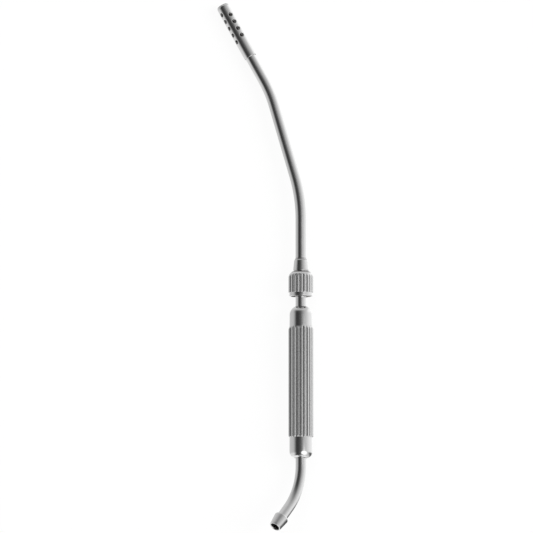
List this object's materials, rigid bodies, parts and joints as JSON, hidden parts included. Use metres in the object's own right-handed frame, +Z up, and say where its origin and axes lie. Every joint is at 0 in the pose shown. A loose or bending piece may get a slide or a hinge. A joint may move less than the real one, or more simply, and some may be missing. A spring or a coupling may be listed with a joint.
{
  "type": "curved suction tube",
  "caption": "Curved surgical suction tube of stainless steel: bent tube with perforated tip, union nut, fluted handle and bent hose outlet.",
  "frame": {"origin": "on the surface that the instrument lies on, under the middle of its bounding box", "axes": "+Y along the handle towards the tip, +Z up from the surface, -X the side that the tube and the outlet bend to"},
  "size_m": [0.0638, 0.3536, 0.0273],
  "materials": {
    "tube_steel": "drawn stainless tube, polished lengthwise to a satin sheen",
    "turned_steel": "turned stainless steel with fine turning marks, polished",
    "fluted_steel": "milled flutes in stainless steel, edges broken and polished",
    "spring_steel": "stainless spring steel, as rolled"
  },
  "bodies": {
    "handle": {"handle_barrel": "fluted_steel", "front_cap": "turned_steel", "rear_cap": "turned_steel", "outlet_tube": "tube_steel", "hose_connector": "turned_steel", "union_spigot": "turned_steel"},
    "slip_ring": {"retaining_ring": "spring_steel"},
    "nut": {"union_nut": "fluted_steel"},
    "tube": {"tube_ferrule": "turned_steel", "working_tube": "tube_steel", "suction_tip": "tube_steel"}
  },
  "joints": [
    {"name": "union_lift", "type": "slide", "parent": "handle", "child": "slip_ring", "axis": [0, 1, 0], "range_m": [0, 0.0075]},
    {"name": "nut_turn", "type": "hinge", "parent": "slip_ring", "child": "nut", "pos_m": [0.02363, -0.0096, 0.0082], "axis": [0, 1, 0], "range_deg": [0, 1800]},
    {"name": "tube_swivel", "type": "hinge", "parent": "slip_ring", "child": "tube", "pos_m": [0.02363, -0.0096, 0.0082], "axis": [0, 1, 0], "continuous": true}
  ],
  "couplings": [
    {"joint": "nut_turn", "follows": "union_lift", "rad_per_m": 4188.8}
  ]
}
